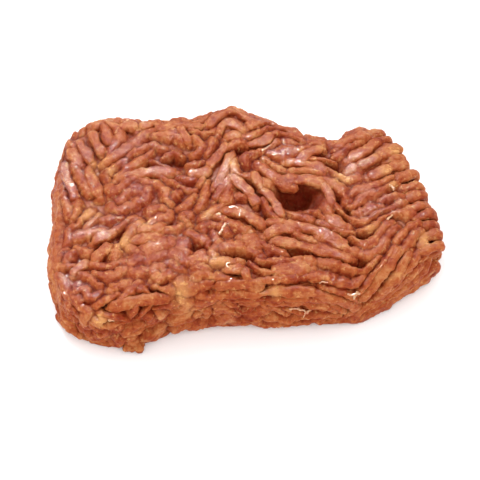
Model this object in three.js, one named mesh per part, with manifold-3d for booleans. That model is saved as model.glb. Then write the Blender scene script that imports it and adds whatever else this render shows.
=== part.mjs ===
// A block of raw minced meat, laid down by a mincer as rows of soft strands and pressed under film.
// Millimetres, +X along the block, +Y to its back, +Z up. The origin is under the middle, on the base.
import * as THREE from "three";
import { mergeVertices } from "three/addons/utils/BufferGeometryUtils.js";
import Module from "manifold-3d";

// The strands are as thick as the holes of the mincer's plate. A facet along a strand is about STEP long.
const STRAND_RADIUS = 2.5;
const STRAND_SIDES = 5;
const ROWS = 30;
const STEP = 6.4;

// Sections across the block: x and y of the front foot, x and y of the back foot, height.
// The right third turns towards the back, so its sections fan out.
const SECTIONS = [
  [-94, -36, -94, 32, 30],
  [-87, -48, -88, 49, 36],
  [-73, -57, -75, 58, 38],
  [-50, -55, -53, 57, 40],
  [-28, -47, -28, 57, 41],
  [-6, -45, -9, 62, 42],
  [22, -45, 14, 55, 40],
  [50, -43, 39, 46, 38],
  [66, -35, 47, 50, 38],
  [80, -26, 55, 53, 37],
  [90, -18, 61, 52, 34],
];
const SHOULDER_RADIUS = 14;

// A strand's ridge on the block: how deep the groove beside it is, and how deep it still is at the block's
// ends. The crown's width and the strand's sway are shares of a row's width.
const GROOVE = 2.6;
const END_GROOVE = 0.52;
const CROWN = 0.44;
const SWAY = 0.3;
const SWAY_LENGTH = 33;

// Crowns lie up to this far under the film: more at the lumpy left than at the combed right.
const LUMPS = { left: 1.5, right: 0.5, from: -5, to: 45, length: 21 };

// The shapes reach this far under the floor before they are cut flat. Slivers under TIDY are smoothed away.
const UNDER_FLOOR = 3;
const TIDY = 0.1;

// Pits left open between the strands: centre x and y, half length, half width, depth.
const PITS = [
  [25, 15, 12, 7, 12],
  [8, 4, 6, 9, 6],
  [47, -8, 6, 4, 5],
  [50, 27, 7, 4, 5],
  [-38, 30, 9, 4, 4],
];

// The folds at the right end: tiers of strands that turn over and run back under themselves. The top tier
// lies under the film by cover, a fold is drop high, and the middle of the end stands out by bulge.
const FOLD = { tiers: 3, pitch: 6.9, first: 4, last: 3, cover: 2.6, drop: 8.5, gap: 2.2, reach: 2, bulge: 5 };
const FOLD_UNEVEN = { reach: 3, drop: 1.5, rim: 3, lean: 0.12 };
const FOLD_NOSE = 1.2;

// The strands across the left end: how far they stand out, how far their pad reaches into the rows, how far
// its top lies under the film, and how far it pulls in at its rim.
const LEFT = { tiers: 6, reach: 2.2, inside: 9, cover: 2, rim: 8.8 };
const LEFT_WAVE = { out: 0.8, crown: 0.8, groove: 0.4, outLength: 23, highLength: 29 };

// Loose strands on top: centre x and y, length, heading in degrees, bow sideways. They sink into the rows by
// CURL_SINK, and further by CURL_DIP at their ends.
const CURL_SINK = 1.4;
const CURL_DIP = 0.7;
const CURLS = [
  [-12, 52, 44, 4, 7],
  [-11, 46, 30, 0, 9],
  [22, 24, 34, -8, -5],
  [4, 20, 26, -52, 3],
  [0, 33, 24, 50, -4],
  [-50, 47, 34, 6, 4],
  [-44, 31, 40, -6, 5],
  [-66, 45, 18, -64, 1],
  [-73, 38, 17, -58, 1],
  [-59, 47, 16, -70, 1],
  [-84, 10, 26, 82, 2],
  [38, 6, 20, -2, 3],
  [12, -6, 22, -30, 3],
];

const mix = (a, b, t) => a + (b - a) * t;
const ramp = (a, b, x) => THREE.MathUtils.smoothstep(x, a, b);

// A repeatable draw between 0 and 1 for a pair of whole numbers.
function draw(a, b) {
  const t = Math.sin(a * 127.1 + b * 311.7) * 43758.5453;
  return t - Math.floor(t);
}

// A smooth wave between about -1 and 1, with its own phases for each seed.
function wave(s, length, seed) {
  const slow = Math.sin((s / length + draw(seed, 1)) * 2 * Math.PI);
  const quick = Math.sin((s / (length * 0.43) + draw(seed, 2)) * 2 * Math.PI);
  return 0.65 * slow + 0.35 * quick;
}

// The section whose front foot is at x = s, by a Catmull-Rom curve through the named ones.
function sectionAt(s) {
  const last = SECTIONS.length - 1;
  let i = 0;
  while (i < last - 1 && s > SECTIONS[i + 1][0]) i++;
  const [a, b] = [SECTIONS[i], SECTIONS[i + 1]];
  const [before, after] = [SECTIONS[Math.max(i - 1, 0)], SECTIONS[Math.min(i + 2, last)]];
  const t = THREE.MathUtils.clamp((s - a[0]) / (b[0] - a[0]), 0, 1);
  const [t2, t3] = [t * t, t * t * t];
  const [frontY, backX, backY, height] = [1, 2, 3, 4].map(
    (k) =>
      (2 * t3 - 3 * t2 + 1) * a[k] +
      (t3 - 2 * t2 + t) * 0.5 * (b[k] - before[k]) +
      (3 * t2 - 2 * t3) * b[k] +
      (t3 - t2) * 0.5 * (after[k] - a[k]),
  );
  const front = new THREE.Vector2(s, frontY);
  const back = new THREE.Vector2(backX, backY);
  return { front, back, height, width: front.distanceTo(back) };
}

// The point at share u round section s, from the front foot over the top to the back foot, set in by depth.
function onSection(s, u, depth) {
  const { front, back, height, width } = sectionAt(s);
  const wall = height - SHOULDER_RADIUS;
  const corner = (Math.PI / 2) * SHOULDER_RADIUS;
  const top = width - 2 * SHOULDER_RADIUS;
  const reach = SHOULDER_RADIUS - depth;
  const half = wall + corner + top / 2;
  // Both halves of a section mirror each other, so one foot's wall, corner and top do for both.
  const run = half - Math.abs(2 * u - 1) * half;
  const angle = THREE.MathUtils.clamp((run - wall) / SHOULDER_RADIUS, 0, Math.PI / 2);
  const inward = SHOULDER_RADIUS - reach * Math.cos(angle) + Math.max(0, run - wall - corner);
  const z = Math.min(run, wall) + reach * Math.sin(angle);
  const across = u < 0.5 ? inward : width - inward;
  const plan = front.clone().lerp(back, across / width);
  return new THREE.Vector3(plan.x, plan.y, z);
}

function pitAt(x, y) {
  const depths = PITS.map(([cx, cy, rx, ry, deep]) => {
    const away = ((x - cx) / rx) ** 2 + ((y - cy) / ry) ** 2;
    return deep * Math.exp(-away);
  });
  return Math.max(...depths);
}

// How far a row's crown lies under the film at section s. Rows are lumpy at the left and smooth at the right.
function sink(row, s, u) {
  const { x, y } = onSection(s, u, 0);
  const lumps = 0.6 * mix(LUMPS.left, LUMPS.right, ramp(LUMPS.from, LUMPS.to, s));
  return lumps * (1 + wave(s, LUMPS.length, row)) + pitAt(x, y);
}

const wasm = await Module();
wasm.setup();

function solid(geometry) {
  geometry.deleteAttribute("normal");
  geometry.deleteAttribute("uv");
  const merged = mergeVertices(geometry, 1e-4);
  return new wasm.Manifold(
    new wasm.Mesh({
      numProp: 3,
      vertProperties: merged.attributes.position.array,
      triVerts: new Uint32Array(merged.index.array),
    }),
  );
}

// The block is a loft of its sections, with one ridge for each row of strands that runs along it.
// A row has three columns of corners: the groove before it and the two sides of its crown.
function rows() {
  const columns = 3 * ROWS + 1;
  const [from, to] = [SECTIONS[0][0], SECTIONS.at(-1)[0]];
  const rings = Math.round((to - from) / STEP);
  const shape = new THREE.CylinderGeometry(1, 1, 1, columns, rings);
  const position = shape.attributes.position;
  const sway = (row, s) => SWAY * wave(s, SWAY_LENGTH, row + 50);
  for (let i = 0; i < position.count; i++) {
    const [x, y, z] = [position.getX(i), position.getY(i), position.getZ(i)];
    const s = mix(from, to, 0.5 - y);
    if (Math.hypot(x, z) < 0.5) {
      const { front, back, height } = sectionAt(s);
      position.setXYZ(i, (front.x + back.x) / 2, (front.y + back.y) / 2, height / 2);
      continue;
    }
    const column = Math.round((Math.atan2(x, z) / (2 * Math.PI) + 1) * columns) % columns;
    const row = Math.floor(column / 3);
    const place = column % 3;
    const shift = place ? sway(row, s) : (sway(row - 1, s) + sway(row, s)) / 2;
    const u = (row + [0, 0.5 - CROWN / 2, 0.5 + CROWN / 2][place] + shift) / ROWS;
    if (column === 0 || column === columns - 1) {
      const foot = onSection(s, column ? 1 : 0, GROOVE);
      position.setXYZ(i, foot.x, foot.y, -UNDER_FLOOR);
      continue;
    }
    const groove = Math.abs(y) < 0.5 ? GROOVE : END_GROOVE;
    const p = onSection(s, u, sink(row, s, u) + (place ? 0 : groove));
    position.setXYZ(i, p.x, p.y, p.z);
  }
  return solid(shape);
}

// A round-ended strand along the points. side is a direction that the strand never runs along.
function strand(points, side) {
  const path = new THREE.CatmullRomCurve3(points);
  const length = path.getLength();
  const steps = Math.max(2, Math.round(length / STEP));
  const shape = new THREE.CapsuleGeometry(STRAND_RADIUS, length - 2 * STRAND_RADIUS, 1, STRAND_SIDES, steps);
  const position = shape.attributes.position;
  const vertex = new THREE.Vector3();
  for (let i = 0; i < position.count; i++) {
    vertex.fromBufferAttribute(position, i);
    const t = THREE.MathUtils.clamp(vertex.y / length + 0.5, 0, 1);
    const tangent = path.getTangentAt(t);
    const across = new THREE.Vector3().crossVectors(tangent, side).normalize();
    const up = new THREE.Vector3().crossVectors(across, tangent);
    const at = path.getPointAt(t).addScaledVector(across, vertex.x).addScaledVector(up, vertex.z);
    position.setXYZ(i, at.x, at.y, at.z);
  }
  return solid(shape);
}

// At the right end the strands turn over and run back under themselves.
function folds() {
  const { front, back, height, width } = sectionAt(SECTIONS.at(-1)[0]);
  const along = back.clone().sub(front).normalize();
  const out = new THREE.Vector2(along.y, -along.x);
  const side = new THREE.Vector3(along.x, along.y, 0);
  const made = [];
  for (let tier = 0; tier < FOLD.tiers; tier++) {
    const first = FOLD.first + (tier % 2 ? FOLD.pitch / 2 : 0);
    for (let across = first; across < width - FOLD.last; across += FOLD.pitch) {
      const share = across / width;
      const uneven = draw(tier, Math.round(across));
      const reach = FOLD.reach + FOLD.bulge * Math.sin(Math.PI * share) + FOLD_UNEVEN.reach * uneven;
      const rim = FOLD_UNEVEN.rim * (2 * share - 1) ** 4;
      const high = height - FOLD.cover - tier * (FOLD.drop + FOLD.gap) - rim;
      const drop = FOLD.drop - FOLD_UNEVEN.drop * uneven;
      const inside = -reach - 1.6 * STRAND_RADIUS;
      const point = (away, down) => {
        const plan = front.clone().addScaledVector(along, across - FOLD_UNEVEN.lean * away);
        plan.addScaledVector(out, reach + away);
        return new THREE.Vector3(plan.x, plan.y, high - down);
      };
      const nose = [point(-1, FOLD_NOSE), point(0, drop / 2), point(-1, drop - FOLD_NOSE)];
      made.push(strand([point(inside, 0), ...nose, point(inside, drop)], side));
    }
  }
  return made;
}

// Strands cross the left end from front to back, one above another: a ridged pad over the end of the rows.
function leftEnd() {
  const { front, back, height } = sectionAt(SECTIONS[0][0]);
  const steps = Math.round((back.y - front.y) / STEP);
  const columns = 3 * LEFT.tiers;
  const shape = new THREE.BoxGeometry(1, 1, 1, 1, steps, columns);
  const position = shape.attributes.position;
  for (let i = 0; i < position.count; i++) {
    const [x, y, z] = [position.getX(i), position.getY(i), position.getZ(i)];
    const column = Math.round((z + 0.5) * columns);
    const tier = Math.floor(column / 3);
    const crown = column % 3 > 0;
    const rim = LEFT.rim * Math.max(Math.abs(2 * y), 2 * z) ** 5;
    const ridge = (crown ? 0 : GROOVE) + LEFT_WAVE.out * wave(100 * y, LEFT_WAVE.outLength, tier + 90);
    const swing = crown ? LEFT_WAVE.crown : LEFT_WAVE.groove;
    const lift = swing * wave(100 * y, LEFT_WAVE.highLength, tier + 110);
    const out = x < 0 ? ridge + rim - LEFT.reach : LEFT.inside;
    const high = mix(-UNDER_FLOOR, height - LEFT.cover, z + 0.5) + lift;
    position.setXYZ(i, front.x + out, mix(front.y, back.y, y + 0.5), high);
  }
  return solid(shape);
}

// The height of the film over a point of the plan.
function filmHeight(x, y) {
  let s = x;
  for (let pass = 0; pass < 6; pass++) {
    const { front, back } = sectionAt(s);
    s += x - mix(front.x, back.x, (y - front.y) / (back.y - front.y));
  }
  const { front, height, width } = sectionAt(s);
  const across = Math.hypot(x - front.x, y - front.y);
  const inward = THREE.MathUtils.clamp(Math.min(across, width - across), 0, SHOULDER_RADIUS);
  return height - SHOULDER_RADIUS + Math.sqrt(SHOULDER_RADIUS ** 2 - (SHOULDER_RADIUS - inward) ** 2);
}

// Loose strands lie bowed on top of the rows.
function curls() {
  return CURLS.map(([cx, cy, length, heading, bow]) => {
    const angle = THREE.MathUtils.degToRad(heading);
    const [dx, dy] = [Math.cos(angle), Math.sin(angle)];
    const points = [-1, -0.6, -0.2, 0.2, 0.6, 1].map((t) => {
      const [ahead, aside] = [(t * length) / 2, bow * (1 - t * t)];
      const [x, y] = [cx + ahead * dx - aside * dy, cy + ahead * dy + aside * dx];
      return new THREE.Vector3(x, y, filmHeight(x, y) - CURL_SINK - CURL_DIP * Math.abs(t));
    });
    return strand(points, new THREE.Vector3(0, 0, 1));
  });
}

const joined = wasm.Manifold.union([rows(), ...folds(), leftEnd(), ...curls()]);
const above = new THREE.BoxGeometry(400, 400, 100).translate(0, 0, 50);
// The outer shell alone is kept, so that no hollow stays sealed between the strands.
const shells = joined.intersect(solid(above)).simplify(TIDY).decompose();
const outer = shells.reduce((most, shell) => (shell.volume() > most.volume() ? shell : most));
const { vertProperties, triVerts } = outer.getMesh();
const geometry = new THREE.BufferGeometry();
geometry.setAttribute("position", new THREE.BufferAttribute(new Float32Array(vertProperties), 3));
geometry.setIndex(new THREE.BufferAttribute(new Uint32Array(triVerts), 1));
geometry.computeBoundingBox();
const middle = geometry.boundingBox.getCenter(new THREE.Vector3());
geometry.translate(-middle.x, -middle.y, 0);
geometry.computeVertexNormals();

const meat = new THREE.MeshStandardMaterial({ color: 0xb8694a, roughness: 0.42, metalness: 0 });
const block = new THREE.Mesh(geometry, meat);
block.name = "mince_block";

const model = new THREE.Group();
model.add(block);
export default model;
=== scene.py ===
# A block of raw minced meat, as it lies when it is tipped out of its pack. The mincer laid it down as soft
# strands, the film over the pack pressed them, and at one end they are combed to a fan and folded over.
# The layout is in millimetres, with its own origin, and every mesh is moved and scaled to the frame's metres.
import math
import random

import bmesh
import bpy
import numpy as np
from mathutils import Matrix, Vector, noise


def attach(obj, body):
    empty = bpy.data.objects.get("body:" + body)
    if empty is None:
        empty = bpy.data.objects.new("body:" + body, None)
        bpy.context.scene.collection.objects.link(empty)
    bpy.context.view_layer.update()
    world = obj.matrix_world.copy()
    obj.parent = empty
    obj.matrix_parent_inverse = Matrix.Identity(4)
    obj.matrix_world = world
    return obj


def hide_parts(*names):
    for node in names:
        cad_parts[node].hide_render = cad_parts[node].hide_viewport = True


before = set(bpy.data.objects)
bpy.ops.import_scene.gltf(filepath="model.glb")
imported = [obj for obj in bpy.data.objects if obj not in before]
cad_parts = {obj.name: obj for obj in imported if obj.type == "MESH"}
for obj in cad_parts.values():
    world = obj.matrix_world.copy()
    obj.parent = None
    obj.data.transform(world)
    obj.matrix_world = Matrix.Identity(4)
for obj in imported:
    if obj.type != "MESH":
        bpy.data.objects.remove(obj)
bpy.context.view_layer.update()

# The form under the film
# The film gave the block its form: sections from the left end to the right, each a wall, a round shoulder and
# a flat top. A row holds x and y of the section's front foot, x and y of its back foot, and its height.
SECTIONS = np.array([
    (-94, -36, -94, 32, 30),
    (-87, -48, -88, 49, 36),
    (-73, -57, -75, 58, 38),
    (-50, -55, -53, 57, 40),
    (-28, -47, -28, 57, 41),
    (-6, -45, -9, 62, 42),
    (22, -45, 14, 55, 40),
    (50, -43, 39, 46, 38),
    (66, -35, 47, 50, 38),
    (80, -26, 55, 53, 37),
    (90, -18, 61, 52, 34),
], float)
SHOULDER = 14.0
CENTRE = np.array([-0.95, 2.36, 0.0])


def smooth_sections(step):
    """The sections at every step along the block, by a Catmull-Rom curve through the named ones."""
    s = np.arange(SECTIONS[0, 0], SECTIONS[-1, 0] + step / 2, step)
    last = len(SECTIONS) - 1
    i = np.clip(np.searchsorted(SECTIONS[:, 0], s, side="right") - 1, 0, last - 1)
    a, b = SECTIONS[i], SECTIONS[i + 1]
    before, after = SECTIONS[np.maximum(i - 1, 0)], SECTIONS[np.minimum(i + 2, last)]
    t = ((s - a[:, 0]) / (b[:, 0] - a[:, 0]))[:, None]
    curve = (2 * t**3 - 3 * t**2 + 1) * a + (t**3 - 2 * t**2 + t) * 0.5 * (b - before)
    curve += (3 * t**2 - 2 * t**3) * b + (t**3 - t**2) * 0.5 * (after - a)
    curve[:, 0] = s
    return curve


FORM = smooth_sections(0.5)
FORM_START, FORM_END = FORM[0, 0], FORM[-1, 0]


def section(s):
    """The front foot, the back foot and the height of section s. Past the right end the last slope goes on.
    """
    columns = []
    for k in (1, 2, 3, 4):
        slope = (FORM[-1, k] - FORM[-5, k]) / (FORM[-1, 0] - FORM[-5, 0])
        columns.append(np.interp(s, FORM[:, 0], FORM[:, k]) + slope * np.maximum(s - FORM_END, 0))
    front_y, back_x, back_y, height = columns
    return np.stack([s, front_y], -1), np.stack([back_x, back_y], -1), height


def girth(s):
    """The way round section s, from its front foot over the top to its back foot."""
    front, back, height = section(s)
    width = np.linalg.norm(back - front, axis=-1)
    return 2 * (height - SHOULDER) + math.pi * SHOULDER + width - 2 * SHOULDER


def film(s, v, depth=0.0):
    """Points at v millimetres round section s, sunk by depth under the film, and the film's normals there."""
    s, v, depth = (np.asarray(a, float) for a in np.broadcast_arrays(s, v, depth))
    front, back, height = section(s)
    line = back - front
    width = np.linalg.norm(line, axis=-1)
    line = line / width[..., None]
    wall = height - SHOULDER
    corner = math.pi / 2 * SHOULDER
    half = wall + corner + width / 2 - SHOULDER
    run = half - np.abs(v - half)
    angle = np.clip((run - wall) / SHOULDER, 0, math.pi / 2)
    reach = SHOULDER - depth
    inward = SHOULDER - reach * np.cos(angle) + np.maximum(0, run - wall - corner)
    z = np.minimum(run, wall) + reach * np.sin(angle)
    rear = v > half
    plan = front + line * np.where(rear, width - inward, inward)[..., None]
    out = np.where(rear, np.cos(angle), -np.cos(angle))
    points = np.concatenate([plan, z[..., None]], -1)
    normals = np.concatenate([line * out[..., None], np.sin(angle)[..., None]], -1)
    return points, normals


# The meat's surface
# Raw lean meat is moist, a little see-through and warm brown-pink, mottled with pale fat that the mincer has
# smeared along the strands. It is one material for skin, strands and core, with the mottle as a node group.
def node(tree, kind, settings=None, **inputs):
    """A new node with its settings, and its inputs given as values or linked to other nodes' outputs."""
    made = tree.nodes.new(kind)
    for key, value in (settings or {}).items():
        setattr(made, key, value)
    for key, value in inputs.items():
        socket = made.inputs[int(key[1:])] if key[1:].isdigit() else made.inputs[key.replace("_", " ")]
        if isinstance(value, bpy.types.NodeSocket):
            tree.links.new(value, socket)
        else:
            socket.default_value = value
    return made


def colour_ramp(tree, factor, stops):
    made = node(tree, "ShaderNodeValToRGB", Fac=factor)
    ramp = made.color_ramp
    while len(ramp.elements) < len(stops):
        ramp.elements.new(0.5)
    for element, (place, colour) in zip(ramp.elements, stops):
        element.position = place
        element.color = (*colour, 1)
    return made.outputs["Color"]


def maths(tree, operation, a, b, clamp=False):
    return node(tree, "ShaderNodeMath", {"operation": operation, "use_clamp": clamp}, i0=a, i1=b).outputs[0]


def linear(red, green, blue):
    """A colour given as sRGB bytes, as the shader wants it."""
    return tuple(((c / 255 + 0.055) / 1.055) ** 2.4 if c > 10 else c / 3294 for c in (red, green, blue))


def surface(name, settings):
    """A new material, its node tree and its shader with plain settings."""
    made = bpy.data.materials.new(name)
    made.use_nodes = True
    shader = made.node_tree.nodes["Principled BSDF"]
    for key, value in settings.items():
        shader.inputs[key].default_value = value
    return made, made.node_tree, shader


def mottle_group():
    """The pattern of lean and fat, the fine relief and where the meat is wet, by patches a metre."""
    tree = bpy.data.node_groups.new("meat_mottle", "ShaderNodeTree")
    for name in ("Place", "Local"):
        tree.interface.new_socket(name, in_out="INPUT", socket_type="NodeSocketVector")
    for name in ("Lean", "Fat", "Height", "Wet"):
        tree.interface.new_socket(name, in_out="OUTPUT", socket_type="NodeSocketFloat")
    place, local = node(tree, "NodeGroupInput").outputs[:2]

    def fractal(vector, scale, detail, roughness=0.55):
        values = {"Scale": scale, "Detail": detail, "Roughness": roughness}
        return node(tree, "ShaderNodeTexNoise", Vector=vector, **values).outputs["Fac"]

    def stretched(value, gain):
        return maths(tree, "MULTIPLY", maths(tree, "SUBTRACT", value, 0.5), gain)

    def between(value, low, high):
        """Nothing below low, all above high, with a smooth change from one to the other."""
        smooth = {"interpolation_type": "SMOOTHSTEP"}
        made = node(tree, "ShaderNodeMapRange", smooth, Value=value, From_Min=low, From_Max=high)
        return made.outputs["Result"]

    patches = fractal(place, 110.0, 2.0)
    mottle = fractal(place, 480.0, 3.0)
    fibres = fractal(local, 1.1, 3.0)
    grain = fractal(place, 1500.0, 3.0, 0.65)
    lean = maths(tree, "ADD", stretched(patches, 1.3), stretched(mottle, 1.0))
    lean = maths(tree, "ADD", lean, stretched(fibres, 0.6))
    smears = between(fractal(place, 170.0, 4.0, 0.65), 0.56, 0.72)
    specks = between(fractal(place, 430.0, 2.0, 0.6), 0.6, 0.7)
    height = maths(tree, "ADD", maths(tree, "MULTIPLY", mottle, 0.6), maths(tree, "MULTIPLY", grain, 0.4))
    height = maths(tree, "ADD", height, maths(tree, "MULTIPLY", fibres, 0.5))
    fat = maths(tree, "MAXIMUM", smears, specks)
    wet = between(fractal(place, 90.0, 3.0), 0.42, 0.62)
    node(tree, "NodeGroupOutput", Lean=lean, Fat=fat, Height=height, Wet=wet)
    return tree


MOTTLE = mottle_group()
LEAN_STOPS = (
    (0.12, linear(130, 44, 18)),
    (0.38, linear(151, 66, 30)),
    (0.62, linear(167, 87, 44)),
    (0.88, linear(180, 114, 68)),
)
FAT_COLOUR = linear(208, 150, 92)
# Painted shade: the dark colour laid into creases, the cavity, the undersides of strands and the whole core.
PAINTED_SHADE_COLOUR = linear(116, 22, 5)
TONE_GAIN = 0.07
FAT_SHARE = 0.5
SPOT_BASE = 0.65
PAINTED_SHADE_SHARE = 0.82
MOIST_SHARE = 0.25
DRY_ROUGHNESS = 0.55
WET_SMOOTHING = 0.22
WET_COAT = 0.7
MEAT_SHADER = {
    "Coat Roughness": 0.06, "Subsurface Weight": 0.15, "Subsurface Radius": (1.0, 0.4, 0.22),
    "Subsurface Scale": 0.001, "Specular IOR Level": 0.08,
}


def meat_material():
    """Moist meat by marks: tone with painted light, pale for fat, painted shade in creases, wet for glints.
    """
    made, tree, shader = surface("moist_meat", MEAT_SHADER)
    place = node(tree, "ShaderNodeTexCoord").outputs["Object"]
    local = node(tree, "ShaderNodeAttribute", {"attribute_name": "local"}).outputs["Vector"]
    tone_and_light, pale, painted_shade, wet = (
        node(tree, "ShaderNodeAttribute", {"attribute_name": key}).outputs["Fac"]
        for key in ("tone_and_light", "pale", "painted_shade", "wet")
    )
    mottle = node(tree, "ShaderNodeGroup", {"node_tree": MOTTLE}, Place=place, Local=local).outputs

    def blend(factor, a, b):
        return node(tree, "ShaderNodeMix", {"data_type": "RGBA"}, Factor=factor, i6=a, i7=b).outputs[2]

    def bumpy(height, strength, distance):
        bump = node(tree, "ShaderNodeBump", Height=height, Strength=strength, Distance=distance)
        return bump.outputs["Normal"]

    value = maths(tree, "ADD", mottle["Lean"], 0.5)
    value = maths(tree, "ADD", value, maths(tree, "MULTIPLY", tone_and_light, TONE_GAIN), True)
    spot = maths(tree, "MULTIPLY", pale, maths(tree, "ADD", mottle["Fat"], SPOT_BASE))
    fat = maths(tree, "ADD", maths(tree, "MULTIPLY", mottle["Fat"], FAT_SHARE), spot, True)
    colour = blend(fat, colour_ramp(tree, value, LEAN_STOPS), (*FAT_COLOUR, 1))
    # Painted shade: the dark colour is blended in where shade falls, in creases and under strands.
    colour = blend(maths(tree, "MULTIPLY", painted_shade, PAINTED_SHADE_SHARE, True), colour, (*PAINTED_SHADE_COLOUR, 1))
    ripple = node(tree, "ShaderNodeTexNoise", Vector=place, Scale=540.0, Detail=3.0).outputs["Fac"]
    moist = maths(tree, "ADD", maths(tree, "MULTIPLY", mottle["Wet"], MOIST_SHARE), wet, True)
    fed = {
        "Base Color": colour,
        "Normal": bumpy(mottle["Height"], 0.9, 0.001),
        "Coat Normal": bumpy(ripple, 1.0, 0.0013),
        "Roughness": maths(tree, "SUBTRACT", DRY_ROUGHNESS, maths(tree, "MULTIPLY", moist, WET_SMOOTHING)),
        "Coat Weight": maths(tree, "MULTIPLY", moist, WET_COAT),
    }
    for key, source in fed.items():
        tree.links.new(source, shader.inputs[key])
    return made


MEAT = meat_material()

# The listed strands
# Some strands show one by one: arches at the back, fingers at the back left corner, a zigzag, the lip over
# the cavity and the chunks round the gaps. They are soft strands of meat, and each is a ball drawn out along
# a path bowed on the film: x, y, length, heading, bow, girth.
STRAND_HALF = 2.55
LAID = (
    (-70, 48, 12, -4, 4, 1.0),
    (-69, 44, 13, -77, 0, 1.15),
    (-74, 39, 14, -68, 0, 1.1),
    (-80, 34, 15, -60, 0, 1.1),
    (-85, 31, 11, -53, 0, 1.1),
    (-59, 47, 9, 0, 2, 1.0),
    (-44, 50, 19, 14, 2, 1.0),
    (-63, 33, 19, 39, 0, 1.2),
    (-49, 20, 29, 7, 2, 1.1),
    (-75, 16, 17, -70, 0, 1.1),
    (-87, 17, 23, -70, 0, 1.0),
    (-69, -14, 13, 34, 0, 1.0),
    (-70, -23, 13, 49, 0, 1.0),
    (-49, -16, 16, 10, 1, 1.0),
    (-80, -32, 9, 33, 2, 1.0),
    (-52, -52, 30, 12, 2, 1.1),
    (-8, 48, 25, 0, 9, 0.95),
    (-9, 44, 13, 5, 6, 0.9),
    (-8, 41, 8, 4, 2, 0.9),
    (-31, 51, 18, -11, -2, 1.0),
    (6, 49, 14, 8, 2, 1.0),
    (5, 41, 13, 23, -2, 1.0),
    (19, 46, 14, -24, 1, 1.0),
    (-31, 43, 12, -62, 0, 0.95),
    (-24, 24, 10, 18, -2, 1.0),
    (-16, 32, 15, 55, -1, 1.0),
    (-13, 23, 23, 65, -1, 1.0),
    (-13, 13, 16, 57, 1, 0.95),
    (-3, 12, 21, -51, 2, 0.95),
    (4, 17, 11, -63, 0, 1.0),
    (11, 5, 18, -55, 1, 1.05),
    (14, 20, 23, -34, -2, 1.25),
    (25, 16.5, 23, -3, 1.0, 1.15),
    (37, 10, 13, -66, 1.2, 1.0),
    (-3, -4, 22, -24, 3, 1.1),
    (-7, -32, 9, 4, 0, 0.9),
    (-1, -36, 10, -76, 0, 0.95),
    (3, -41, 7, 4, -2, 0.95),
    (0, -18, 10, -45, 2, 1.5),
    (15, -12, 17, 9, 2, 1.1),
    (20, -32, 19, 8, 1, 1.6),
    (64, -42, 46, 55, -2.6, 1.1),
    (71, -48, 50, 39, -1.9, 1.1),
    (70, -45, 38, 44, 0, 1.0),
    (63, -36, 37, 60, -1, 1.0),
    (33, -51, 40, -16, 3.3, 1.15),
    (27, -12, 41, -18, 3, 1.1),
    (30, -21, 40, -16, 1, 1.0),
    (28, 25, 22, -16, 2, 1.1),
    (-5, -42, 23, 3, 1, 1.0),
    (51, 40, 18, 24, 3, 1.2),
    (57, 36, 22, 36, 0, 1.15),
    (63, 31, 24, 28, 0, 1.1),
    (67, 24, 21, 27, 0, 1.1),
    (42, -4, 13, -41, -2, 1.3),
    (30, 32, 14, 36, 2, 1.0),
)

chance = random.Random(11)
noise.seed_set(11)
SEEN_HEIGHT = 38.0
ELEVATION = math.radians(60)
SEEN_SLOPE = 1 / math.tan(ELEVATION)


def seen(x, y):
    """The places s and v on the form seen at x and y of the top's level, from the front, 60 degrees up."""
    x, y = np.broadcast_arrays(np.asarray(x, float), np.asarray(y, float))
    levels = np.arange(46.0, 0.0, -0.25)
    down = y[..., None] + (SEEN_HEIGHT - levels) * SEEN_SLOPE
    beside = np.broadcast_to(x[..., None], down.shape)
    s = beside.copy()
    for _ in range(8):
        front, back, height = section(s)
        share = (down - front[..., 1]) / (back[..., 1] - front[..., 1])
        s = s + beside - (front[..., 0] + (back[..., 0] - front[..., 0]) * share)
    front, back, height = section(s)
    width = np.linalg.norm(back - front, axis=-1)
    across = share * width
    inward = np.minimum(across, width - across)
    rounded = SHOULDER - np.clip(inward, 0, SHOULDER)
    cover = height - SHOULDER + np.sqrt(SHOULDER**2 - rounded**2)
    hit = np.argmax((inward >= 0) & (levels <= cover), axis=-1)[..., None]
    s, level, inward, across, width, height = (
        np.take_along_axis(np.broadcast_to(a, down.shape), hit, -1)[..., 0]
        for a in (s, levels, inward, across, width, height)
    )
    angle = np.arccos(np.clip((SHOULDER - inward) / SHOULDER, 0, 1))
    run = height - SHOULDER + SHOULDER * angle + np.maximum(inward - SHOULDER, 0)
    run = np.where(level < height - SHOULDER, level, run)
    return s, np.where(across * 2 > width, girth(s) - run, run)


def turned(normal, heading):
    """The unit vector on the film at a heading in degrees from +x, and the one to its left."""
    first = np.array([1.0, 0, 0]) - normal * normal[0]
    first /= np.linalg.norm(first)
    second = np.cross(normal, first)
    turn = math.radians(heading)
    ahead = first * math.cos(turn) + second * math.sin(turn)
    return ahead, np.cross(normal, ahead)


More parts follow.
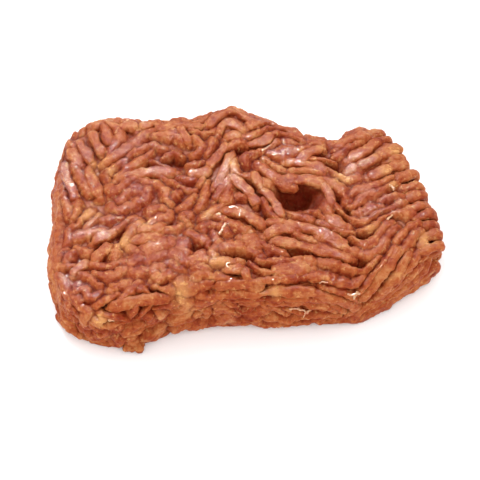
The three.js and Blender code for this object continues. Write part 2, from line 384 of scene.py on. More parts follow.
# The cavity under the lip, and the gaps between the strands: x, y, half length, half width, heading, depth.
CAVITY = ((24.0, 9.8, 10.5, 7.2, 0, 13),)
GAPS = (
    (0.5, 13, 12, 3.0, -65, 4),
    (8, -4, 6, 3.0, -80, 4),
    (-5, -24.5, 9, 3.0, -24, 4),
    (-5, -33, 4, 3.0, 10, 4),
    (8, -31, 4, 3.2, 0, 6),
    (8, -47, 3.2, 4.2, 0, 5),
    (24, -54, 9, 2.6, 0, 3),
    (51, -15, 6, 3.2, 20, 6),
    (52, -30, 4, 3.2, 0, 5),
    (-45, -47, 7, 4.6, 35, 6),
    (-40, 27, 12, 3.2, 6, 3),
    (40, 27, 8, 3.4, -40, 4),
    (43, 9, 3.6, 3.6, 0, 3),
    (44, -2, 6, 3.0, 12, 3),
    (-67, -54, 4, 3.4, 0, 2),
    (-26, -18, 5, 2.3, -35, 3),
    (-35, -8, 4, 2.4, 0, 3),
    (21, -23, 4, 2.4, 0, 3),
    (-60, -12, 4, 2.4, 40, 3),
    (-73, -14, 4, 2.5, 70, 3),
    (-3, 36, 12, 3, 20, 2),
)


def spots_on_film(places):
    """The film's points and normals at the places whose rows begin with x and y as seen."""
    return film(*seen([row[0] for row in places], [row[1] for row in places]))


def hollow(points, pits):
    """How deep the named pits are at points of the film."""
    centres, normals = spots_on_film(pits)
    deepest = np.zeros(points.shape[:-1])
    for (_, _, length, width, heading, depth), centre, normal in zip(pits, centres, normals):
        ahead, aside = turned(normal, heading)
        far = ((points - centre) @ ahead / length) ** 2 + ((points - centre) @ aside / width) ** 2
        deepest = np.maximum(deepest, depth * np.exp(-(far**1.5)))
    return deepest


CAVITY_CENTRE, CAVITY_NORMAL = (a[0] for a in spots_on_film(CAVITY))
CAVITY_WAYS = turned(CAVITY_NORMAL, CAVITY[0][4])
CAVITY_RIM = 0.8


def in_cavity(point):
    """Whether a strand ends here, at the cavity's rim."""
    offset = point - CAVITY_CENTRE
    along, across = offset @ CAVITY_WAYS[0] / CAVITY[0][2], offset @ CAVITY_WAYS[1] / CAVITY[0][3]
    return along**2 + across**2 < CAVITY_RIM


def strand(path, normals, depth, wide, thick, slack, tone_and_light):
    """One strand: its path, the film's normals and its depth along it, and how it is pressed and coloured."""
    return {
        "path": path, "normals": normals, "depth": np.broadcast_to(depth, len(path)),
        "wide": np.broadcast_to(wide, len(path)), "thick": thick, "slack": slack, "tone_and_light": tone_and_light,
    }


def unit(vectors):
    return vectors / np.linalg.norm(vectors, axis=1)[:, None]


def arc_along(path):
    """How far along the path each of its points lies."""
    return np.concatenate([[0], np.cumsum(np.linalg.norm(np.diff(path, axis=0), axis=1))])


def sampled(places, arc, rows):
    """Rows of values that go with an arc, at other places along it."""
    return np.stack([np.interp(places, arc, column) for column in rows.T], 1)


# A strand ends in a cap of a few rings. The grain has lumps of four sizes and heights, and below the slack
# the meat flattens out.
CAP_RINGS = 4
FLOOR_SLACK = 1.0
GRAIN = ((13.0, 1.1), (6.0, 0.6), (2.6, 0.5), (1.2, 0.34))


def drawn_out(item, sides, step):
    """The rings of a round-ended strand from pole to pole, pressed flat where it would pass the film."""
    path, normals = item["path"], item["normals"]
    arc = arc_along(path)
    total = arc[-1]
    cap = min(float(np.mean(item["wide"])), total * 0.45)
    bend = np.linspace(0, math.pi / 2, CAP_RINGS + 1)[1:]
    nose = cap * (1 - np.cos(bend))
    body = np.linspace(cap, total - cap, max(2, int(round((total - 2 * cap) / step)) + 1))[1:-1]
    stations = np.concatenate([nose, body, total - nose[::-1]])
    swell = np.concatenate([np.sin(bend) ** 0.7, np.ones(len(body)), np.sin(bend[::-1]) ** 0.7])
    seat = sampled(stations, arc, path)
    up = sampled(stations, arc, normals)
    along = unit(np.gradient(seat, stations, axis=0))
    side = unit(np.cross(along, up))
    up = np.cross(side, along)
    phase = [chance.uniform(0, 2 * math.pi) for _ in range(4)]
    lump = 1 + 0.14 * np.sin(stations / 1.5 + phase[0]) * np.sin(stations / 4.3 + phase[1])
    lump += 0.07 * np.sin(stations / 2.9 + phase[2])
    turn = (np.arange(sides) + 0.5) / sides * 2 * math.pi
    square = 2 / 2.1
    across, upward = (np.sign(way) * np.abs(way) ** square for way in (np.cos(turn), np.sin(turn)))
    size = (swell * lump)[:, None]
    wide = across[None, :] * np.interp(stations, arc, item["wide"])[:, None] * size
    high = upward[None, :] * item["thick"] * size
    # Painted shade: the lower side of each strand, and the parts pressed deep under the film, are marked for
    # the dark shade colour.
    painted_shade = np.clip(1 - (upward[None, :] + 1.15) / 1.5, 0, 1) + np.zeros_like(high)
    if item["slack"]:
        slack = item["slack"]
        depth = np.interp(stations, arc, item["depth"])[:, None]
        held = high - depth
        held = np.where(held > -slack, -slack * np.exp(-np.maximum(held + slack, 0) / slack), held)
        high = held + depth
        painted_shade += np.clip((-held - 2.6) / 5, 0, 1)
    rings = seat[:, None, :] + side[:, None, :] * wide[..., None] + up[:, None, :] * high[..., None]
    local = np.stack([np.broadcast_to(stations[:, None] * 0.3 + phase[0] * 40, wide.shape), wide, high], -1)
    # Painted light: besides its own random tone, each strand is painted lighter on top and darker underneath.
    tone_and_light = item["tone_and_light"] + 0.35 * np.sin(stations / 4 + phase[1])[:, None] + upward[None, :]
    marks = {"painted_shade": painted_shade, "tone_and_light": tone_and_light, "local": local}
    marks = {key: np.concatenate([values[:1], values, values[-1:]]) for key, values in marks.items()}
    first, last = (np.broadcast_to(pole, rings[:1].shape) for pole in (path[0], path[-1]))
    return {"place": np.concatenate([first, rings, last]), **marks}


# Fat shows as soft yellow patches, some lean meat is smeared flat and dark, and the wettest places show
# glints. Each place has x and y as seen and its reach along x and across.
FAT_SPOTS = (
    (-20, -1, 3, 3), (-14, -28, 4.5, 5), (44, 18, 4, 4), (36, 36, 3, 2), (71, 34, 3, 3), (58, -10, 3, 2.5),
    (-60, -17, 4, 6), (70, 14, 3, 2.5), (-32, -46, 4, 7), (-8, 26, 3, 5), (-66, 22, 3, 3), (12, -46, 3, 3),
    (-78, -1, 4, 5), (-74, 26, 3, 4), (66, 22, 3, 3), (-50, -6, 3, 3), (84, -16, 3, 4), (-70, -62, 3, 4),
)
LEAN_SPOTS = (
    (-51, 12, 7, 6), (-51, -24, 7, 4), (56, 26, 7, 4), (22, -31, 9, 3.5), (-10, 49, 8, 5), (-37, 46, 6, 5),
    (57, 11, 6, 5), (-28, -42, 9, 5), (-4, -38, 6, 4), (4, -50, 7, 3),
)
WET_SPOTS = (
    (15, 34, 11, 6), (-86, 18, 6, 12), (-84, -36, 6, 10), (-73, -8, 6, 7), (-28, 22, 5, 4), (50, 26, 8, 6),
    (-10, 20, 5, 7), (62, 2, 7, 6), (24, 5, 8, 5), (36, -8, 6, 4), (-45, 26, 8, 4), (45, -40, 5, 4),
)


def spots(points, places):
    """How strongly points lie in any of the named spots, from 0 to 1."""
    centres = spots_on_film(places)[0]
    strongest = np.zeros(len(points))
    for centre, (_, _, along, across) in zip(centres, places):
        offset = (points - centre) / (along, across, across)
        strongest = np.maximum(strongest, np.exp(-np.sum(offset**2, axis=1)))
    return strongest


def placed(name, data):
    """A new object of the scene."""
    made = bpy.data.objects.new(name, data)
    bpy.context.scene.collection.objects.link(made)
    return made


def to_metres(shape, points):
    """The shape's vertices at points of the layout, in the frame's metres."""
    for vert, point in zip(shape.verts, (points - CENTRE) * 0.001):
        vert.co = point


def in_block(name, mesh, material):
    """The mesh as a piece of the block, in place of the solid."""
    mesh.materials.append(material)
    made = placed(name, mesh)
    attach(made, "root")
    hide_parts("mince_block")
    return made


def meat_piece(name, shape, verts, marks, material):
    """A piece of the block: the shape with its vertices in place and the marks that its material reads."""
    to_metres(shape, verts)
    mesh = bpy.data.meshes.new(name)
    shape.to_mesh(mesh)
    shape.free()
    marks = {**marks, "pale": spots(verts, FAT_SPOTS), "wet": spots(verts, WET_SPOTS)}
    for key, values in marks.items():
        kind, field = ("FLOAT_VECTOR", "vector") if values.ndim == 2 else ("FLOAT", "value")
        mesh.attributes.new(key, kind, "POINT").data.foreach_set(field, values.astype(np.float32).ravel())
    mesh.polygons.foreach_set("use_smooth", np.ones(len(mesh.polygons), bool))
    mesh.update()
    return in_block(name, mesh, material)


def roughened(verts, share=1.0):
    """The vertices moved by the grain of the meat, and kept above the surface below."""
    for size, height in GRAIN:
        verts = verts + np.array([noise.noise_vector(Vector(vert / size)) for vert in verts]) * height * share
    low = verts[:, 2] < FLOOR_SLACK
    verts[low, 2] = FLOOR_SLACK * np.exp((verts[low, 2] - FLOOR_SLACK) / FLOOR_SLACK)
    return verts


def strand_mesh(name, items, sides=16, step=0.8, material=MEAT):
    """All the strands of one kind as one piece, each a ball drawn out. The sides are a multiple of four."""
    joined = bmesh.new()
    carrier = bpy.data.meshes.new("carrier")
    parts = []
    for item in items:
        drawn = drawn_out(item, sides, step)
        last = len(drawn["place"]) - 1
        ball = bmesh.new()
        bmesh.ops.create_uvsphere(ball, u_segments=sides, v_segments=last, radius=1)
        x, y, z = np.array([vert.co for vert in ball.verts]).T
        ring = np.rint(np.arccos(np.clip(z, -1, 1)) / math.pi * last).astype(int)
        side = np.rint(np.arctan2(y, x) / (2 * math.pi) * sides).astype(int) % sides
        parts.append({key: values[ring, side] for key, values in drawn.items()})
        ball.to_mesh(carrier)
        ball.free()
        joined.from_mesh(carrier)
    bpy.data.meshes.remove(carrier)
    marks = {key: np.concatenate([part[key] for part in parts]) for key in parts[0]}
    meat_piece(name, joined, roughened(marks.pop("place")), marks, material)


def bowed(length, heading, bow):
    """Offsets ahead and aside of a bowed strand's points from its middle."""
    t = np.linspace(-1, 1, max(7, int(length / 1.2)))
    turn = math.radians(heading)
    ahead = t * length / 2 * math.cos(turn) - bow * (1 - t**2) * math.sin(turn)
    aside = t * length / 2 * math.sin(turn) + bow * (1 - t**2) * math.cos(turn)
    return t, ahead, aside


LAID_THICK = 2.5
LAID_SLACK = 0.8
END_DIP = 1.4


def laid_strands():
    """The listed strands, each sunk a little by chance and dipped at its ends."""
    made = []
    for x, y, length, heading, bow, thickness in LAID:
        t, ahead, aside = bowed(length, heading, bow)
        s, v = seen(x + ahead, y + aside)
        thick = LAID_THICK * min(thickness, 1.2)
        depth = thick + chance.uniform(-1.1, -0.3) + END_DIP * np.abs(t) ** 4
        tone_and_light = chance.uniform(-0.5, 0.7)
        path, normals = film(s, v, depth)
        item = strand(path, normals, depth, STRAND_HALF * thickness, thick, LAID_SLACK, tone_and_light)
        item["place"] = (s, v)
        made.append(item)
    return made


LAID_STRANDS = laid_strands()
strand_mesh("laid_strands", LAID_STRANDS)

# The flow of the rows
# Between the listed strands the others run side by side, as if combed, and bend round them. Each zone
# sets the flow round it: x, y, reach along and across, heading, winding in degrees, a strand's length, slack.
ZONES = np.array([
    (-79, 37, 14, 16, -62, 25, 20, 1.4),
    (-93, 4, 7, 26, -88, 30, 26, 1.3),
    (-84, -38, 12, 16, 30, 150, 20, 1.5),
    (-62, 5, 18, 16, 20, 100, 20, 1.0),
    (-40, -28, 30, 20, 5, 130, 12, 0.4),
    (-45, -55, 38, 7, 8, 120, 16, 0.9),
    (-45, 46, 30, 10, 5, 80, 22, 1.4),
    (5, 46, 25, 10, -8, 80, 22, 1.4),
    (-28, 15, 25, 14, 20, 120, 16, 1.2),
    (0, -12, 18, 14, -20, 110, 15, 1.0),
    (25, -20, 20, 14, -6, 50, 44, 1.1),
    (25, -38, 24, 9, -14, 36, 44, 1.0),
    (24, 24, 16, 8, -15, 70, 22, 1.2),
    (40, 25, 8, 10, 40, 80, 16, 1.0),
], float)
# Right of the junction line the fan takes over, with habits of its own. The line's x and the fan's headings
# go by y.
FAN_HABITS = (26, 60, 1.25)
JUNCTION_LINE = ((-60, -43, -20, 0, 20, 60), (51, 49, 43, 38, 46, 46))
FAN_HEADINGS = ((-45, -25, -5, 15, 35, 55), (52, 42, 30, 21, 20, 22))
LAID_REACH = 6.0
LAID_PULL = 5.0
WINDING_SIZE = 7.0


def laid_headings():
    """The laid strands' points and headings, doubled so that both ways along one count alike."""
    points, double = [], []
    for item in LAID_STRANDS:
        course = np.gradient(item["path"], axis=0)
        for point, way, normal in zip(item["path"], course, item["normals"]):
            ahead, aside = turned(normal, 0)
            angle = 2 * math.atan2(way @ aside, way @ ahead)
            points.append(point)
            double.append((math.cos(angle), math.sin(angle)))
    return np.array(points), np.array(double)


LAID_POINTS, LAID_DOUBLE = laid_headings()


def flow(point, normal):
    """At a point of the film the flow's heading in degrees, and the strands' winding, length and slack."""
    x, y = point[0], point[1]
    weight = np.exp(-(((x - ZONES[:, 0]) / ZONES[:, 2]) ** 2) - ((y - ZONES[:, 1]) / ZONES[:, 3]) ** 2) + 1e-5
    weight /= weight.sum()
    double = np.radians(ZONES[:, 4]) * 2
    way = np.array([weight @ np.cos(double), weight @ np.sin(double)])
    way /= max(np.linalg.norm(way), 0.05)
    habit = weight @ ZONES[:, 5:]
    past = x - np.interp(y, *JUNCTION_LINE)
    share = min(max(past / (1.5 + 5 * min(max((y + 40) / 60, 0), 1)) + 0.5, 0), 1)
    if share:
        angle = 2 * math.radians(float(np.interp(y, *FAN_HEADINGS)) * (1 if abs(normal[1]) < 0.6 else 0.5))
        way = way * (1 - share) + np.array([math.cos(angle), math.sin(angle)]) * share
        habit = habit * (1 - share) + np.array(FAN_HABITS) * share
    near = LAID_PULL * np.exp(-(((LAID_POINTS - point) / LAID_REACH) ** 2).sum(axis=1))
    way = way + near @ LAID_DOUBLE
    heading = math.degrees(math.atan2(way[1], way[0])) / 2
    steep = 1.2 * max(0.0, 0.8 - normal[2]) * min(max((50 - x) / 20, 0), 1)
    calm = (1 + steep) / (1 + near.sum())
    heading += 2.1 * habit[0] * calm * noise.noise(Vector(point / WINDING_SIZE))
    return heading, habit


# Strands lie a spacing apart, grow by paces, and end at a share of the spacing from another one.
SPACING = 5.2
CLOSEST = 0.55
EDGE_MARGIN = 2.4
TRIES = 1500
PACE = 1.2
SHORTEST = 4


def place_on_film(s, v):
    """A place's point and normal, and the vectors that a millimetre of s and of v moves it by."""
    points, normals = film(np.array([s, s + 0.4, s]), np.array([v, v, v + 0.4]))
    return points[0], normals[0], (points[1] - points[0]) / 0.4, (points[2] - points[0]) / 0.4


def on_film(s, v):
    """Whether a place is past the left end's edge and clear of both feet."""
    return s >= FORM_START + 1 and EDGE_MARGIN <= v <= float(girth(s)) - EDGE_MARGIN


def moved(s, v, by_s, by_v, shift):
    """The place that a small shift leads to."""
    a, b, c = by_s @ by_s, by_s @ by_v, by_v @ by_v
    p, q = by_s @ shift, by_v @ shift
    scale = a * c - b * b
    return s + (p * c - q * b) / scale, v + (q * a - p * b) / scale


class Field:
    """The points that strands already take, and a search for the nearest of them."""

    def __init__(self, points):
        self.points = np.zeros((60000, 3))
        self.count = 0
        self.add(points)

    def add(self, points):
        self.points[self.count:self.count + len(points)] = points
        self.count += len(points)

    def nearest(self, point):
        return math.sqrt((((self.points[:self.count] - point) ** 2).sum(axis=1)).min())


def grow(field, s, v):
    """A strand along the flow through a place, both ways until its length or another strand stops it."""
    point, normal, _, _ = place_on_film(s, v)
    _, habit = flow(point, normal)
    limit = max(7.0, chance.gauss(habit[1], habit[1] * 0.3))
    drift = chance.uniform(-1, 1) * habit[0] ** 2 / 300
    halves = []
    for sense in (1, -1):
        s_at, v_at, last, run = s, v, None, []
        while len(run) * PACE < limit / 2:
            point, normal, by_s, by_v = place_on_film(s_at, v_at)
            way = turned(normal, flow(point, normal)[0] + drift)[0] * sense
            if last is not None and way @ last < 0:
                way = -way
            last = way
            s_at, v_at = moved(s_at, v_at, by_s, by_v, way * PACE)
            if s_at > FORM_END + 0.5 or not on_film(s_at, v_at):
                break
            point = film(s_at, v_at)[0]
            if field.nearest(point) < SPACING * CLOSEST or in_cavity(point):
                break
            run.append((s_at, v_at))
        halves.append(run)
    return halves[1][::-1] + [(s, v)] + halves[0], habit[2]


def flowing_strands():
    """Strands that fill the film side by side: first beside those already there, then in the gaps left."""
    field = Field(LAID_POINTS)
    runs = []
    queue = [list(zip(*item["place"])) for item in LAID_STRANDS]

    def try_at(s, v):
        if s > FORM_END or not on_film(s, v):
            return
        point = film(s, v)[0]
        if field.nearest(point) < SPACING * 0.96 or in_cavity(point):
            return
        run, slack = grow(field, s, v)
        if len(run) < SHORTEST:
            return
        s_run, v_run = np.array(run).T
        field.add(film(s_run, v_run)[0])
        runs.append((s_run, v_run, slack))
        queue.append(run)

    def work_off():
        while queue:
            run = queue.pop(0)
            for k in range(1, len(run) - 1, 2):
                s, v = run[k]
                _, normal, by_s, by_v = place_on_film(s, v)
                way = by_s * (run[k + 1][0] - run[k - 1][0]) + by_v * (run[k + 1][1] - run[k - 1][1])
                aside = np.cross(normal, way / np.linalg.norm(way))
                for sense in (SPACING, -SPACING):
                    try_at(*moved(s, v, by_s, by_v, aside * sense))

    work_off()
    for _ in range(TRIES):
        s = chance.uniform(FORM_START, FORM_END)
        try_at(s, chance.uniform(2.5, float(girth(s)) - 2.5))
        work_off()
    return runs


def room_beside(runs):
    """The half widths with which the strands fill the room between their neighbours."""
    points = [film(s, v)[0] for s, v, _ in runs]
    everything = np.concatenate(points + [LAID_POINTS])
    owner = [np.full(len(own), k) for k, own in enumerate(points)]
    owner = np.concatenate(owner + [np.full(len(LAID_POINTS), -1)])
    made = []
    for k, (s, v, slack) in enumerate(runs):
        normal = film(s, v)[1]
        aside = unit(np.cross(normal, np.gradient(points[k], axis=0)))
        offset = everything[owner != k][None, :, :] - points[k][:, None, :]
        apart = np.linalg.norm(offset, axis=2)
        left = np.einsum("ijk,ik->ij", offset, aside)
        far = SPACING * 1.35
        room = 0
        for way in (left, -left):
            room = room + np.where((way > 0.6 * apart) & (apart < far), apart, far).min(axis=1)
        half = np.clip(room / 4, 2.0, 3.2)
        if len(half) > 4:
            half[1:-1] = np.convolve(half, np.ones(3) / 3, "valid")
        made.append(half)
    return made


# The skin of rows
# Pressed side by side the rows share their borders, so they are one skin over a grid on the film. Each point
# belongs to the strand that stands highest there, and a strand falls away to its sides by its crease depth.
# The lean spots are smeared: evened out over some rounds, raised a little and darkened.
SKIN_STEP = 0.5
SKIN_ROWS = 360
SKIN_REACH = 7.0
SKIN_SPLIT = 20.0
SMEAR = {"share": 0.85, "rounds": 40, "rise": 0.7, "darker": 2.4}
FOOT_DIP = 2.2
SKIN_END_DIP = 3.0
SKIN_GRAIN = 0.7
# How much lighter the ridges are painted, as a painted highlight.
RIDGE_HIGHLIGHT = 1.7
SKIN_TONE = -0.4
CREASE = (0.75, 1.5)
DEEPEST = 3.8
SEAT = 1.3


def member(s, v, half, sink, slack, tone_and_light):
    """What the skin needs of a strand, sampled every half millimetre."""
    path = film(s, v)[0]
    arc = arc_along(path)
    at = np.linspace(0, arc[-1], max(4, int(arc[-1] / SKIN_STEP)))
    phase = chance.uniform(0, 100)
    bead = np.array([noise.noise(Vector((a / 2.3, phase, 0))) for a in at])
    swell = np.array([noise.noise(Vector((a / 5.0, phase, 9))) for a in at])
    return {
        "path": sampled(at, arc, path), "arc": at + phase,
        "half": np.interp(at, arc, np.broadcast_to(half, len(arc))) * (1 + 0.3 * bead),
        "sink": np.interp(at, arc, np.broadcast_to(sink, len(arc))) - 0.5 * bead + 0.9 * swell,
        "crease": CREASE[0] + CREASE[1] * slack, "power": 3.2 - 0.9 * min(slack, 1.2), "tone_and_light": tone_and_light,
    }


def skin_members():
    """The strands of the skin: the listed ones and those that flow round them."""
    made = []
    for item in LAID_STRANDS:
        made.append(member(*item["place"], item["wide"], SEAT, 1.0, item["tone_and_light"]))
    runs = flowing_strands()
    for (s, v, slack), half in zip(runs, room_beside(runs)):
        t = np.linspace(-1, 1, len(s))
        sink = chance.uniform(-0.35, 0.75) * slack + 0.5 * np.abs(t) ** 4 * slack
        stout = 1.35 if chance.random() < 0.3 else 1.0
        made.append(member(s, v, half * stout, sink - (stout - 1), slack, chance.gauss(0, 0.8)))
    return made


def skin_relief(points, gaps, members):
    """The level of the highest strand at each point, and that strand's tone and local place."""
    level = -DEEPEST - gaps
    tone_and_light = np.zeros(len(points))
    local = np.zeros((len(points), 3))
    for item in members:
        path = item["path"]
        inside = (points > path.min(axis=0) - SKIN_REACH) & (points < path.max(axis=0) + SKIN_REACH)
        near = np.nonzero(inside.all(axis=1))[0]
        squares = (points[near] ** 2).sum(axis=1)[:, None] - 2 * points[near] @ path.T + (path**2).sum(axis=1)
        which = squares.argmin(axis=1)
        apart = np.sqrt(np.maximum(squares[np.arange(len(near)), which], 0))
        share = apart / item["half"][which]
        power = item["power"]
        fall = np.where(share < 1, share**power, 1 + 0.7 * power * (share - 1)) * item["crease"]
        mine = -item["sink"][which] - fall * (1 + 0.8 * gaps[near])
        better = mine > level[near]
        near, which = near[better], which[better]
        level[near] = mine[better]
        tone_and_light[near] = item["tone_and_light"] + 0.35 * np.sin(item["arc"][which] / 4)
        local[near] = np.stack([item["arc"][which] * 0.3, apart[better], np.zeros(len(near))], 1)
    return level, tone_and_light, local


def blurred(grid, rounds):
    """The grid smoothed by a few rounds of averages over neighbours."""
    for _ in range(rounds):
        for axis in (0, 1):
            before, after = np.roll(grid, 1, axis), np.roll(grid, -1, axis)
            grid = (before + grid * 2 + after) / 4
    return grid


def skin():
    """The skin, parted into two pieces where the fan begins."""
    columns = np.arange(FORM_START, FORM_END + SKIN_STEP / 2, SKIN_STEP)
    s, share = np.meshgrid(columns, np.linspace(0, 1, SKIN_ROWS))
    around = girth(s)
    v = share * around
    points = film(s, v)[0]
    gaps = hollow(points, GAPS)
    level, tone_and_light, local = skin_relief(points.reshape(-1, 3), gaps.ravel(), skin_members())
    level = level.reshape(s.shape)
    smear = spots(points.reshape(-1, 3), LEAN_SPOTS).reshape(s.shape)
    level += SMEAR["share"] * smear * (blurred(level, SMEAR["rounds"]) + SMEAR["rise"] - level)
    cavity = hollow(points, CAVITY)
    foot = np.minimum(v, around - v)
    depth = -level + cavity + FOOT_DIP * np.exp(-((foot / FOOT_DIP) ** 2))
    for end in (FORM_START, FORM_END):
        depth += SKIN_END_DIP * np.exp(-(((s - end) / 1.5) ** 2))
    place = roughened(film(s, v, depth)[0].reshape(-1, 3), SKIN_GRAIN).reshape(*s.shape, 3)
    normals = np.cross(np.gradient(place, axis=1), np.gradient(place, axis=0))
    # Painted light: creases and the cavity are marked for the dark shade colour, and ridges are painted
    # lighter as a highlight.
    sunk = (blurred(-depth, 10) + depth) / 1.1
    crease = np.clip(sunk, 0, 1) + np.clip(cavity / 6, 0, 1)
    tone_and_light = tone_and_light.reshape(s.shape) + RIDGE_HIGHLIGHT * np.clip(-sunk, 0, 1) + SKIN_TONE - SMEAR["darker"] * smear
    marks = {"painted_shade": np.clip(crease, 0, 1), "tone_and_light": tone_and_light, "local": local.reshape(place.shape)}
    split = int((SKIN_SPLIT - FORM_START) / SKIN_STEP)
    for name, part in (("lumpy_rows", np.s_[:, :split + 1]), ("combed_fan", np.s_[:, split:])):
        grid = bmesh.new()
        bmesh.ops.create_grid(grid, x_segments=s[part].shape[1] - 1, y_segments=SKIN_ROWS - 1, size=1)
        own = {key: values[part].reshape(-1, *values.shape[2:]) for key, values in marks.items()}
        made = meat_piece(name, grid, place[part].reshape(-1, 3), own, MEAT)
        made.data.normals_split_custom_set_from_vertices(normals[part].reshape(-1, 3).tolist())


skin()

# The folds at the right end
# At the right end each strand of the fan turns over and runs back under itself, in tiers one under another.
# They are the same moist strands, a little stouter, and each is a ball drawn out along a hairpin.
FOLD_THICK = 2.6
FOLD = {"tiers": 4, "pitch": 5.8, "cover": 2.4, "drop": 7.6, "gap": 1.6, "reach": 1.5, "bulge": 4.5}


def folds():
    """Hairpins side by side, tier by tier, each with a leg above, a bend and a leg below."""
    front, back, height = section(np.array(FORM_END))
    width = float(np.linalg.norm(back - front))
    along = (back - front) / width
    out = np.array([along[1], -along[0]])
    made = []
    for tier in range(FOLD["tiers"]):
        across = 3 + (FOLD["pitch"] / 2 if tier % 2 else 0)
        while across < width - 2:
            share = across / width
            reach = FOLD["reach"] + FOLD["bulge"] * math.sin(math.pi * share) + chance.uniform(-1, 2.2)
            high = float(height) - FOLD["cover"] - tier * (FOLD["drop"] + FOLD["gap"])
            high -= 3 * (2 * share - 1) ** 4 + chance.uniform(-0.8, 0.8)
            drop = min(FOLD["drop"] * chance.uniform(0.7, 1.05), max(high - 2.2, 1))
            lean = chance.uniform(-1.5, 1.5)
            turn = np.linspace(-math.pi / 2, math.pi / 2, 9)
            leg = np.linspace(-9, 0, 5)[:-1]
            away = np.concatenate([leg, drop / 2 * np.cos(turn), leg[::-1]]) + reach - drop / 2
            down = np.concatenate([np.zeros(4), drop / 2 * (1 + np.sin(turn)), np.full(4, drop)])
            facing = np.concatenate([np.full(4, -math.pi / 2), turn, np.full(4, math.pi / 2)])
            slide = across + lean * down / drop
            plan = front + along * slide[:, None] + out * away[:, None]
            path = np.concatenate([plan, (high - down)[:, None]], 1)
            normals = np.concatenate([out * np.cos(facing)[:, None], -np.sin(facing)[:, None]], 1)
            half = STRAND_HALF * chance.uniform(1.0, 1.12)
            made.append(strand(path, normals, 0, half, FOLD_THICK, 0, chance.gauss(0.2, 0.5)))
            across += FOLD["pitch"] * chance.uniform(0.88, 1.05)
    return made


strand_mesh("end_folds", folds())

# The strands across the left end
# At the left end the strands lie across the block, one on another, and turn round its corners. They are balls
# drawn out along the end's outline, in tiers from the surface below up to the shoulder.
LEFT_OUTLINE = np.array([
    (-80, -54), (-88, -46), (-93.5, -34), (-94.5, -18), (-94.5, 0), (-94.5, 16), (-93, 31), (-88, 45),
    (-80, 54),
], float)
LEFT_TIERS = 6
LEFT_PITCH = 5.2
LEFT_THICK = 2.9


def left_end():
    """Strands one behind another along the smoothed outline of the left end."""
    arc = arc_along(LEFT_OUTLINE)
    smooth = np.linspace(0, arc[-1], 80)
    line = sampled(smooth, arc, LEFT_OUTLINE)
    for _ in range(12):
        line[1:-1] = (line[:-2] + 2 * line[1:-1] + line[2:]) / 4
    tangent = np.gradient(line, smooth, axis=0)
    outward = unit(np.stack([-tangent[:, 1], tangent[:, 0]], 1))
    made = []
    for tier in range(LEFT_TIERS):
        place = 4 + chance.uniform(0, 8)
        while place < arc[-1] - 10:
            length = chance.uniform(12, 30)
            t = np.linspace(-1, 1, int(length))
            at = np.clip(place + (t + 1) * length / 2, 0, arc[-1])
            spot = sampled(at, smooth, line)
            face = sampled(at, smooth, outward)
            lean = chance.uniform(-2.5, 2.5)
            high = 2.6 + tier * LEFT_PITCH + 1.2 * np.sin(at / 5 + tier * 2) + lean * t
            high += chance.uniform(-0.6, 0.6)
            high = np.maximum(high, 2.2)
            rise = np.clip((high - 20) / 12, 0, 1)
            reach = -1.6 - 5 * rise**2 + chance.uniform(-0.8, 1.0) - 1.5 * np.abs(t) ** 4
            path = np.concatenate([spot + face * reach[:, None], high[:, None]], 1)
            normals = unit(np.concatenate([face * (1 - 0.6 * rise)[:, None], (rise + 0.02)[:, None]], 1))
            half = STRAND_HALF * chance.uniform(1.15, 1.35)
            made.append(strand(path, normals, 0, half, LEFT_THICK, 0, chance.gauss(0, 0.5)))
            place += length * 0.8
    return made


strand_mesh("left_end_strands", left_end())

# The rows underneath
# The lowest layer of rows lies along the block, pressed flat on the surface below. Nothing of it shows in
# front but its edge, so its strands are balls drawn out with fewer sides.
BASE_ROWS = 19
BASE_HALF = 3.1
BASE_THICK = 2.3


def base_rows():
    made = []
    for row in range(1, BASE_ROWS):
        s = FORM_START + 2
        while s < FORM_END:
            length = chance.uniform(14, 40)
            s_path = np.linspace(s, min(s + length, FORM_END), max(6, int(length / 2)))
            front, back, _ = section(s_path)
            share = row / BASE_ROWS + 0.006 * np.sin(s_path / 6 + row * 2)
            plan = front + (back - front) * share[:, None]
            path = np.concatenate([plan, np.full((len(plan), 1), 2.0 + chance.uniform(-0.3, 0.5))], 1)
            normals = np.zeros_like(path) + (0, 0, 1)
            made.append(strand(path, normals, 0, BASE_HALF, BASE_THICK, 0, chance.gauss(0, 0.7)))
            s += length * 0.96
    return made


strand_mesh("base_rows", base_rows(), 12, 1.8)

# The sinew
# White threads of sinew and bits of hard fat lie on the meat here and there. Each is a thin strand, bowed on
# the film: x, y, length, heading, bow, half width, depth.
SINEW = (
    (-8.7, -30.4, 3.4, 90, 1.7, 0.5, 0.2),
    (-7.3, 1.5, 5.0, -20, 0.6, 0.6, 0.3),
    (-4.3, -1.3, 3.5, -80, 0.3, 0.5, 0.3),
    (-14, -2.4, 3.0, 20, 0.3, 0.7, 0.5),
    (-13.1, -10.2, 7.5, 62, -0.6, 0.6, 0.4),
    (-14.5, -48.3, 3.0, 30, 0.2, 1.2, 0.9),
    (24, -56.5, 10, -18, 1.5, 0.5, 0.4),
    (28, -57.5, 5, 40, 0.6, 0.4, 0.3),
    (50, -46.6, 6, 5, 0.5, 0.55, 0.3),
    (51, -47, 4.5, 75, 0.4, 0.6, 0.3),
    (-65, -61, 3.0, 15, 0.2, 0.9, 0.5),
    (68.4, 13.3, 4, -50, 0.4, 0.45, 0.3),
    (68, -4, 6, 48, 0.4, 0.5, 0.4),
    (36, -40, 4, 20, 0.5, 0.35, 0.2),
)
SINEW_COLOURS = ((0.38, linear(184, 110, 66)), (0.62, linear(212, 176, 138)))
SINEW_SHADER = {"Roughness": 0.35, "Subsurface Weight": 0.2, "Subsurface Scale": 0.001}


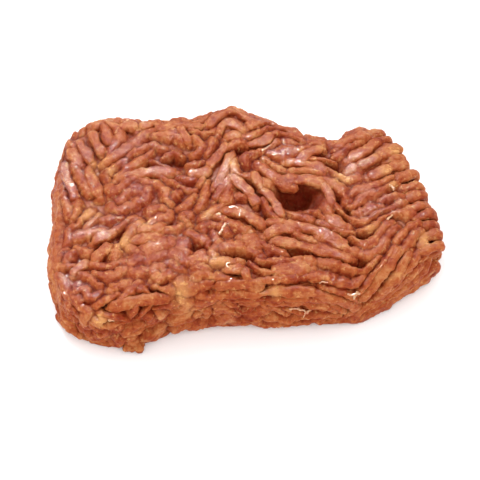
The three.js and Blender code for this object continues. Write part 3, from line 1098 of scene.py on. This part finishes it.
def sinew_material():
    made, tree, shader = surface("sinew", SINEW_SHADER)
    place = node(tree, "ShaderNodeTexCoord").outputs["Object"]
    cloud = node(tree, "ShaderNodeTexNoise", Vector=place, Scale=900.0, Detail=3.0).outputs["Fac"]
    tree.links.new(colour_ramp(tree, cloud, SINEW_COLOURS), shader.inputs["Base Color"])
    return made


def sinew():
    made = []
    for x, y, length, heading, bow, half, depth in SINEW:
        _, ahead, aside = bowed(length, heading, bow)
        s, v = seen(x + ahead, y + aside)
        path, normals = film(s, v, depth + half * 0.2)
        made.append(strand(path, normals, depth, half, half * 0.8, 0, 0))
    return made


strand_mesh("sinew_threads", sinew(), 12, 0.5, sinew_material())

# The loose crumb
# A crumb of three short strand ends lies against the front left foot: x, y, length, heading, half width.
CRUMB = ((-57.0, -54.7, 7, 84, 3.1), (-51.8, -55.0, 7, 97, 3.0), (-54.5, -55.8, 9, 4, 2.4))


def crumb():
    made = []
    for x, y, length, heading, half in CRUMB:
        _, ahead, aside = bowed(length, heading, 0.6)
        path = np.stack([x + ahead, y + aside, np.full(len(ahead), half - 0.2)], 1)
        made.append(strand(path, np.zeros_like(path) + (0, 0, 1), 0, half, half, 0, 0.5))
    return made


strand_mesh("loose_crumb", crumb())

# The core
# Under the strands the meat is one dense mass, painted all over with the dark shade colour so that it shows
# dark in a gap. It is a grid bent round the same sections inside the film, over the top and back along the
# underside, and closed at its ends.
CORE_DEPTH = 5.5
CORE_OVER = 0.8
CORE_FLOOR = 2.0


def core():
    """The core as one closed piece, with its faces outwards."""
    mesh = bmesh.new()
    bmesh.ops.create_grid(mesh, x_segments=90, y_segments=110, size=1)
    span = np.array([vert.co for vert in mesh.verts])
    s = FORM_START + 3 + (span[:, 0] + 1) / 2 * (FORM_END - FORM_START - 5)
    share = (span[:, 1] + 1) / 2
    over = np.clip(share / CORE_OVER, 0, 1)
    outside = film(s, over * girth(s))[0]
    depth = CORE_DEPTH + hollow(outside, CAVITY) + hollow(outside, GAPS)
    points = film(s, over * girth(s), depth)[0]
    front, back, _ = section(s)
    under = np.clip((share - CORE_OVER) / 0.2, 0, 1)[:, None]
    base = back + (front - back) * under
    base = base + unit(front - back) * CORE_DEPTH * (1 - 2 * under)
    beneath = share > CORE_OVER
    points[beneath, :2] = base[beneath]
    points[:, 2] = np.maximum(points[:, 2], CORE_FLOOR)
    to_metres(mesh, points)
    bmesh.ops.remove_doubles(mesh, verts=mesh.verts, dist=0.00002)
    bmesh.ops.holes_fill(mesh, edges=[edge for edge in mesh.edges if edge.is_boundary], sides=0)
    bmesh.ops.recalc_face_normals(mesh, faces=mesh.faces)
    data = bpy.data.meshes.new("meat_core")
    mesh.to_mesh(data)
    mesh.free()
    # Painted shade: the whole core carries the dark shade colour.
    data.attributes.new("painted_shade", "FLOAT", "POINT").data.foreach_set("value", np.ones(len(data.vertices)))
    in_block("meat_core", data, MEAT)


core()

# The studio
# A plain white floor under an even white sky. A weak round lamp at the back left gives the light a direction,
# and a strong one behind the block makes the glints on wet meat and lights nothing else.
FLOOR_SIZE = 3.0
SKY_STRENGTH = 1.5
WHITE_CARD = {"Base Color": (1.0, 1.0, 1.0, 1), "Roughness": 0.9, "Specular IOR Level": 0.0}


def floor():
    mesh = bmesh.new()
    bmesh.ops.create_grid(mesh, x_segments=1, y_segments=1, size=FLOOR_SIZE)
    data = bpy.data.meshes.new("floor")
    mesh.to_mesh(data)
    mesh.free()
    data.materials.append(surface("white_card", WHITE_CARD)[0])
    placed("floor", data)


def sky():
    world = bpy.data.worlds.new("studio")
    bpy.context.scene.world = world
    world.use_nodes = True
    background = world.node_tree.nodes["Background"]
    background.inputs["Color"].default_value = (1, 1, 1, 1)
    background.inputs["Strength"].default_value = SKY_STRENGTH
    world.cycles_visibility.glossy = False


def round_lamp(name, place, size, power):
    """A round lamp that faces the block."""
    light = bpy.data.lights.new(name, "AREA")
    light.shape = "DISK"
    light.size = size
    light.energy = power
    made = placed(name, light)
    made.location = place
    made.rotation_euler = (-made.location).to_track_quat("-Z", "Y").to_euler()
    return made


floor()
sky()
round_lamp("soft_box", (-0.3, 0.4, 1.0), 0.3, 3.0)
round_lamp("glints", (-0.12, 0.5, 0.95), 0.16, 90.0).visible_diffuse = False

# The camera
# A long lens in front of the block looks down on it, square to its length. The view is as wide as the photo.
CAMERA_AWAY = 1.5
VIEW_WIDTH = 0.485 * 480 / 1000
SENSOR = 36.0
AIM = Vector((-0.0034, -0.0063, 0.0164))


def camera():
    data = bpy.data.cameras.new("camera")
    data.sensor_width = SENSOR
    data.lens = SENSOR * CAMERA_AWAY / VIEW_WIDTH
    made = placed("camera", data)
    towards = Vector((0, -math.cos(ELEVATION), math.sin(ELEVATION)))
    made.location = AIM + towards * CAMERA_AWAY
    made.rotation_euler = (-towards).to_track_quat("-Z", "Y").to_euler()
    bpy.context.scene.camera = made


camera()
bpy.context.scene.view_settings.view_transform = "Standard"
